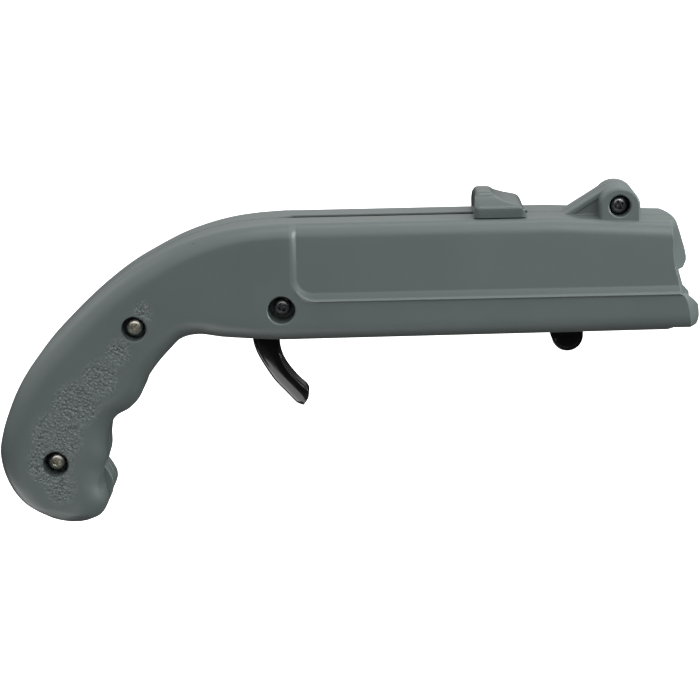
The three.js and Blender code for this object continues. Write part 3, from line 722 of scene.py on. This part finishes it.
def screw(name, turn):
    """A pan-head screw with a cross recess, its head toward the near side."""
    low, high = cad_box(name)
    centre = cad_middle(name)[[0, 2]]
    top, end = low[1], high[1]
    head, shank, root = 2.35, 1.35, 1.05
    dome = [(top, 0.01), (top + 0.03, 1.1), (top + 0.14, 1.8), (top + 0.4, 2.2), (top + 0.9, head),
            (top + 1.75, head), (top + 1.9, head - 0.15), (top + 1.9, shank)]
    thread = []
    pitch = 0.9
    along = top + 2.4
    while along + pitch < end - 1.2:
        thread += [(along, root), (along + 0.3, shank), (along + 0.45, shank), (along + 0.75, root)]
        along += pitch
    tip = [(end - 1.0, root), (end, 0.3)]
    body = lathe("screw_" + name, dome + [(top + 2.1, shank)] + thread + tip, "y", centre, 40)
    for angle in (turn, turn + 90):
        c, s = math.cos(math.radians(angle)), math.sin(math.radians(angle))
        rings = []
        for along, reach, thick in ((top - 0.2, 1.42, 0.42), (top + 1.3, 0.75, 0.22)):
            corners = [(-reach, -thick), (reach, -thick), (reach, thick), (-reach, thick)]
            rings.append([(centre[0] + a * c - b * s, along, centre[1] + a * s + b * c) for a, b in corners])
        cut(body, through_rings("cross", rings))
    return body


def coil(name, node, axis, wire, turns):
    """A compression spring with close end turns, in the room of its CAD node."""
    low, high = cad_box(node)
    middle = (low + high) / 2
    main = "xyz".index(axis)
    others = [i for i in range(3) if i != main]
    radius = (high[others[1]] - low[others[1]]) / 2 - wire
    length = high[main] - low[main] - 2 * wire
    steps = int(turns * 28)
    closed = 1.0 / turns
    close_rise = 2.1 * wire / length
    rings = []
    for i in range(steps + 1):
        t = i / steps
        angle = 2 * math.pi * turns * t
        share = np.interp(t, [0, closed, 1 - closed, 1], [0, close_rise, 1 - close_rise, 1])
        centre = np.zeros(3)
        outward = np.zeros(3)
        outward[others[0]], outward[others[1]] = math.cos(angle), math.sin(angle)
        centre[main] = low[main] + wire + share * length
        centre[others[0]], centre[others[1]] = middle[others[0]], middle[others[1]]
        centre += outward * radius
        upward = np.zeros(3)
        upward[main] = 1
        ring = [centre + wire * (math.cos(a) * outward + math.sin(a) * upward)
                for a in np.linspace(0, 2 * math.pi, 10, endpoint=False)]
        rings.append(ring)
    return through_rings(name, rings)


# ---------------------------------------------------------------- materials

def new_material(name):
    material = bpy.data.materials.new(name)
    material.use_nodes = True
    nodes, links = material.node_tree.nodes, material.node_tree.links
    return material, nodes, links, nodes["Principled BSDF"]


def texture(nodes, links, kind, scale, **settings):
    """A 3-D texture node on the object's own coordinates."""
    coordinates = nodes.new("ShaderNodeTexCoord")
    node = nodes.new(kind)
    links.new(coordinates.outputs["Object"], node.inputs["Vector"])
    node.inputs["Scale"].default_value = scale
    for key, value in settings.items():
        node.inputs[key].default_value = value
    return node


def ramp(nodes, links, source, low, high):
    """A texture's value spread from low to high."""
    node = nodes.new("ShaderNodeMapRange")
    links.new(source, node.inputs["Value"])
    node.inputs["From Min"].default_value = 0.3
    node.inputs["From Max"].default_value = 0.7
    node.inputs["To Min"].default_value = low
    node.inputs["To Max"].default_value = high
    return node.outputs["Result"]


def tint(nodes, links, source, dark, light):
    """A colour between dark and light, by a texture's value."""
    node = nodes.new("ShaderNodeMix")
    node.data_type = "RGBA"
    links.new(source, node.inputs["Factor"])
    node.inputs["A"].default_value = (*dark, 1)
    node.inputs["B"].default_value = (*light, 1)
    return node.outputs["Result"]


def grip_mask(nodes, links):
    """1 inside the grained band of the grip, 0 outside: the union of overlapping discs."""
    coordinates = nodes.new("ShaderNodeTexCoord")
    best = None
    for (x, z), radius in GRAIN_SPOTS:
        offset = nodes.new("ShaderNodeVectorMath")
        offset.operation = "MULTIPLY_ADD"
        links.new(coordinates.outputs["Object"], offset.inputs[0])
        offset.inputs[1].default_value = (1, 0, 1)
        offset.inputs[2].default_value = (-x * MM, 0, -z * MM)
        length = nodes.new("ShaderNodeVectorMath")
        length.operation = "LENGTH"
        links.new(offset.outputs["Vector"], length.inputs[0])
        edge = nodes.new("ShaderNodeMapRange")
        edge.interpolation_type = "SMOOTHSTEP"
        links.new(length.outputs["Value"], edge.inputs["Value"])
        edge.inputs["From Min"].default_value = (radius + GRAIN_OUTSIDE) * MM
        edge.inputs["From Max"].default_value = (radius - GRAIN_INSIDE) * MM
        if best is None:
            best = edge.outputs["Result"]
            continue
        larger = nodes.new("ShaderNodeMath")
        larger.operation = "MAXIMUM"
        links.new(best, larger.inputs[0])
        links.new(edge.outputs["Result"], larger.inputs[1])
        best = larger.outputs["Value"]
    return best


def rounded_normal(nodes, radius):
    """Makes edges catch the light as if rounded by the radius."""
    node = nodes.new("ShaderNodeBevel")
    node.samples = 4
    node.inputs["Radius"].default_value = radius * MM
    return node.outputs["Normal"]


def bump(nodes, links, height, distance, strength, normal=None):
    node = nodes.new("ShaderNodeBump")
    node.inputs["Distance"].default_value = distance * MM
    node.inputs["Strength"].default_value = strength
    links.new(height, node.inputs["Height"])
    if normal is not None:
        links.new(normal, node.inputs["Normal"])
    return node.outputs["Normal"]


PLASTIC = ((0.094, 0.117, 0.113), (0.102, 0.127, 0.122))     # darkest and lightest grey-green

# The grained band of the grip, as discs: centre (x, z) and radius. The grain fades from GRAIN_OUTSIDE
# beyond each disc's edge to GRAIN_INSIDE within it.
GRAIN_SPOTS = [
    ((-57.0, 15.1), 2.8),
    ((-64.5, 3.9), 3.6),
    ((-69.9, -3.5), 5.3),
    ((-77.1, -11.1), 6.7),
    ((-82.9, -20.3), 7.3),
    ((-85.3, -28.4), 6.7),
    ((-82.8, -35.8), 4.8),
]
GRAIN_OUTSIDE = 1.5
GRAIN_INSIDE = 2.5


def shell_plastic(name, shade, roughness, grained):
    """Satin grey-green moulded plastic, with leather-like grain on the grip if asked."""
    material, nodes, links, shader = new_material(name)
    clouds = texture(nodes, links, "ShaderNodeTexNoise", 45, Detail=3)
    fine = texture(nodes, links, "ShaderNodeTexNoise", 2600, Detail=2)
    dark, light = [[shade * part for part in colour] for colour in PLASTIC]
    links.new(tint(nodes, links, clouds.outputs["Fac"], dark, light), shader.inputs["Base Color"])
    spread = ramp(nodes, links, clouds.outputs["Fac"], roughness - 0.04, roughness + 0.04)
    links.new(spread, shader.inputs["Roughness"])
    shader.inputs["IOR"].default_value = 1.5
    normal = bump(nodes, links, fine.outputs["Fac"], 0.02, 0.35, rounded_normal(nodes, 0.3))
    if grained:
        cells = texture(nodes, links, "ShaderNodeTexVoronoi", 1200)
        cells.feature = "SMOOTH_F1"
        cells.inputs["Smoothness"].default_value = 0.35
        product = nodes.new("ShaderNodeMath")
        product.operation = "MULTIPLY"
        links.new(cells.outputs["Distance"], product.inputs[0])
        links.new(grip_mask(nodes, links), product.inputs[1])
        normal = bump(nodes, links, product.outputs["Value"], -0.75, 1.0, normal)
    links.new(normal, shader.inputs["Normal"])
    return material


def black_plastic():
    """Glossy black moulded plastic with faint flow marks."""
    material, nodes, links, shader = new_material("black plastic")
    clouds = texture(nodes, links, "ShaderNodeTexNoise", 160, Detail=3)
    links.new(tint(nodes, links, clouds.outputs["Fac"], (0.004, 0.004, 0.004), (0.007, 0.007, 0.007)),
              shader.inputs["Base Color"])
    links.new(ramp(nodes, links, clouds.outputs["Fac"], 0.1, 0.17), shader.inputs["Roughness"])
    normal = bump(nodes, links, clouds.outputs["Fac"], 0.03, 0.2, rounded_normal(nodes, 0.2))
    links.new(normal, shader.inputs["Normal"])
    return material


def steel(name, dark, light, roughness):
    """Metal with fine scratches and cloudy wear."""
    material, nodes, links, shader = new_material(name)
    clouds = texture(nodes, links, "ShaderNodeTexNoise", 700, Detail=4)
    scratches = texture(nodes, links, "ShaderNodeTexNoise", 5200, Detail=2)
    links.new(tint(nodes, links, clouds.outputs["Fac"], dark, light), shader.inputs["Base Color"])
    spread = ramp(nodes, links, clouds.outputs["Fac"], roughness - 0.06, roughness + 0.1)
    links.new(spread, shader.inputs["Roughness"])
    links.new(bump(nodes, links, scratches.outputs["Fac"], 0.01, 0.4), shader.inputs["Normal"])
    shader.inputs["Metallic"].default_value = 1.0
    return material


def rubber():
    """Dull black rubber with a fine grain."""
    material, nodes, links, shader = new_material("rubber")
    grain = texture(nodes, links, "ShaderNodeTexNoise", 1800, Detail=3)
    links.new(tint(nodes, links, grain.outputs["Fac"], (0.012, 0.012, 0.012), (0.022, 0.022, 0.022)),
              shader.inputs["Base Color"])
    links.new(ramp(nodes, links, grain.outputs["Fac"], 0.75, 0.9), shader.inputs["Roughness"])
    links.new(bump(nodes, links, grain.outputs["Fac"], 0.05, 0.4), shader.inputs["Normal"])
    return material


# ---------------------------------------------------------------- the object

GRAINED = shell_plastic("shell plastic", 1.0, 0.4, True)
SMOOTH = shell_plastic("slider plastic", 0.88, 0.24, False)
BLACK = black_plastic()
BRIGHT = steel("bright steel", (0.62, 0.6, 0.52), (0.85, 0.83, 0.74), 0.25)
DARK = steel("dark steel", (0.2, 0.2, 0.21), (0.36, 0.36, 0.37), 0.22)
RUBBER = rubber()

for side, node in ((1, "left_shell"), (-1, "right_shell")):
    half = shell(side)
    half.name = node.replace("shell", "casing")
    finish_piece(half, "frame", GRAINED, [node])

finish_piece(slider(), "striker", SMOOTH, ["cocking_slider"])
finish_piece(trigger(), "trigger", BLACK, ["trigger"])
finish_piece(catch(), "cap_catch", BLACK, ["cap_catch"])

TURNS = {"grip_screw_upper": 38, "grip_screw_lower": 12, "trigger_pivot_screw": 30, "front_boss_screw": 20}
for name, turn in TURNS.items():
    dark = name in ("trigger_pivot_screw", "front_boss_screw")
    finish_piece(screw(name, turn), "frame", DARK if dark else BRIGHT, [name])

# Each spring's coil, the joint that presses it, which end stays (0 low, 1 high) and the share of its
# length that is left at the joint's far end.
SPRINGS = {
    "main_spring": {
        "axis": "x", "wire": 0.45, "turns": 15, "joint": "striker_slide", "fixed": 0, "keep": 0.29},
    "trigger_spring": {
        "axis": "z", "wire": 0.3, "turns": 5, "joint": "trigger_pull", "fixed": 1, "keep": 0.75},
    "catch_spring": {
        "axis": "z", "wire": 0.25, "turns": 3, "joint": "catch_release", "fixed": 1, "keep": 0.45},
}
for name, spring in SPRINGS.items():
    piece = coil(name.replace("spring", "coil"), name, spring["axis"], spring["wire"], spring["turns"])
    finish_piece(piece, "frame", BRIGHT, [name])
    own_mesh(piece)

CARRIED = {
    BLACK: ["striker"],
    BRIGHT: ["guide_rod", "spring_washer", "slider_pin", "trigger_bush", "catch_pin", "opener_plate",
             "cap_magnet"],
    RUBBER: ["stop_bumper"],
}
for material, names in CARRIED.items():
    for name in names:
        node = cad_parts[name]
        node.data.materials.clear()
        node.data.materials.append(material)


# ---------------------------------------------------------------- stage, light and camera

FLOOR_DROP = 0.12         # how far the floor is below the object, in metres


def stage():
    """A plain pale floor well below the object, which is shown as if held in the air."""
    bpy.ops.mesh.primitive_plane_add(size=30, location=(0, 0, cad_low[2] - FLOOR_DROP))
    floor = bpy.context.object
    floor.name = "floor"
    material, nodes, links, shader = new_material("pale floor")
    clouds = texture(nodes, links, "ShaderNodeTexNoise", 3, Detail=2)
    links.new(tint(nodes, links, clouds.outputs["Fac"], (0.93, 0.93, 0.93), (0.95, 0.95, 0.95)),
              shader.inputs["Base Color"])
    shader.inputs["Roughness"].default_value = 0.9
    shader.inputs["Emission Color"].default_value = (1, 1, 1, 1)
    shader.inputs["Emission Strength"].default_value = 1.0
    floor.data.materials.append(material)
    floor.visible_diffuse = False
    floor.visible_glossy = False
    floor.visible_shadow = False


def softbox(name, place, target, size, power):
    """A rectangular light aimed at a target, hidden from the camera."""
    light = bpy.data.lights.new(name, "AREA")
    light.shape = "RECTANGLE"
    light.size, light.size_y = size
    light.energy = power
    obj = bpy.data.objects.new(name, light)
    bpy.context.scene.collection.objects.link(obj)
    obj.location = place
    obj.rotation_euler = (Vector(target) - Vector(place)).to_track_quat("-Z", "Y").to_euler()
    obj.visible_camera = False
    return obj


# How bright the room is from straight down (0) over eye level (0.5) to straight up (1). The ends come
# first: a new colour ramp has those two stops, and each one added moves their numbers.
WORLD_LEVELS = [(0, 0.3), (1, 0.9), (0.3, 0.1), (0.38, 0.02), (0.5, 0.04), (0.64, 1.0)]
WORLD_FRONT = 1.3         # brightness in front of the object, times the level
WORLD_BACK = 0.7          # and behind it


def studio_world():
    """A room that is bright above, dim below and dark at eye level, so that black parts stay black."""
    world = bpy.data.worlds.new("studio")
    bpy.context.scene.world = world
    world.use_nodes = True
    nodes, links = world.node_tree.nodes, world.node_tree.links
    split = nodes.new("ShaderNodeSeparateXYZ")
    links.new(nodes.new("ShaderNodeTexCoord").outputs["Generated"], split.inputs["Vector"])
    height = nodes.new("ShaderNodeMapRange")
    height.inputs["From Min"].default_value = -1
    links.new(split.outputs["Z"], height.inputs["Value"])
    levels = nodes.new("ShaderNodeValToRGB")
    stops = levels.color_ramp.elements
    for place, level in WORLD_LEVELS:
        stop = stops[0] if place == 0 else stops[1] if place == 1 else stops.new(place)
        stop.color = (level, level, level, 1)
    links.new(height.outputs["Result"], levels.inputs["Fac"])
    depth = nodes.new("ShaderNodeMapRange")
    depth.inputs["From Min"].default_value = -0.7
    depth.inputs["From Max"].default_value = 0.7
    depth.inputs["To Min"].default_value = WORLD_FRONT
    depth.inputs["To Max"].default_value = WORLD_BACK
    links.new(split.outputs["Y"], depth.inputs["Value"])
    product = nodes.new("ShaderNodeMath")
    product.operation = "MULTIPLY"
    links.new(levels.outputs["Color"], product.inputs[0])
    links.new(depth.outputs["Result"], product.inputs[1])
    links.new(product.outputs["Value"], nodes["Background"].inputs["Strength"])
    nodes["Background"].inputs["Color"].default_value = (1, 1, 1, 1)


def lights():
    """Soft light from above, the front, both ends and behind, and a glow the black parts reflect."""
    studio_world()
    softbox("overhead", (0.1, -0.1, 0.8), (0, 0, 0), (0.8, 0.1), 1.2)
    softbox("front fill", (0.25, -0.5, 0.35), (0.03, 0, 0.02), (0.3, 0.3), 1.05)
    softbox("muzzle side", (0.5, -0.08, 0.14), (0.1, 0, 0.02), (0.15, 0.2), 1.9)
    softbox("grip side", (-0.7, 0.2, 0.5), (-0.08, 0, 0), (0.3, 0.3), 0.5)
    # Lights the far side without a reflection on the top faces.
    back = softbox("back fill", (0.15, 0.6, 0.3), (0, 0, 0.01), (0.5, 0.4), 1.4)
    back.visible_glossy = False
    # Only reflected, like a pale table, so that it doesn't light the plastic from below.
    glow = softbox("table glow", (-0.36, -0.15, -0.45), (-0.02, 0, 0), (1.0, 0.36), 3.0)
    glow.visible_diffuse = False


def camera():
    """A camera 0.7 m away, 11 degrees above the barrel, rolled a little so that the muzzle points up."""
    azimuth, elevation, roll = math.radians(1.0), math.radians(11.0), math.radians(1.4)
    distance = 0.7
    target = Vector((0.0005, 0, 0.0006))
    back = Vector((math.sin(azimuth) * math.cos(elevation), -math.cos(azimuth) * math.cos(elevation),
                   math.sin(elevation)))
    right = Vector((math.cos(azimuth), math.sin(azimuth), 0))
    up = back.cross(right)
    right, up = (right * math.cos(roll) - up * math.sin(roll), up * math.cos(roll) + right * math.sin(roll))
    data = bpy.data.cameras.new("camera")
    data.sensor_width = 36
    data.lens = 125.2
    data.shift_y = -0.003
    data.clip_start = 0.01
    obj = bpy.data.objects.new("camera", data)
    bpy.context.scene.collection.objects.link(obj)
    turn = Matrix((right, up, back)).transposed().to_4x4()
    obj.matrix_world = Matrix.Translation(target + back * distance) @ turn
    bpy.context.scene.camera = obj


stage()
lights()
camera()
bpy.context.scene.view_settings.view_transform = "Standard"
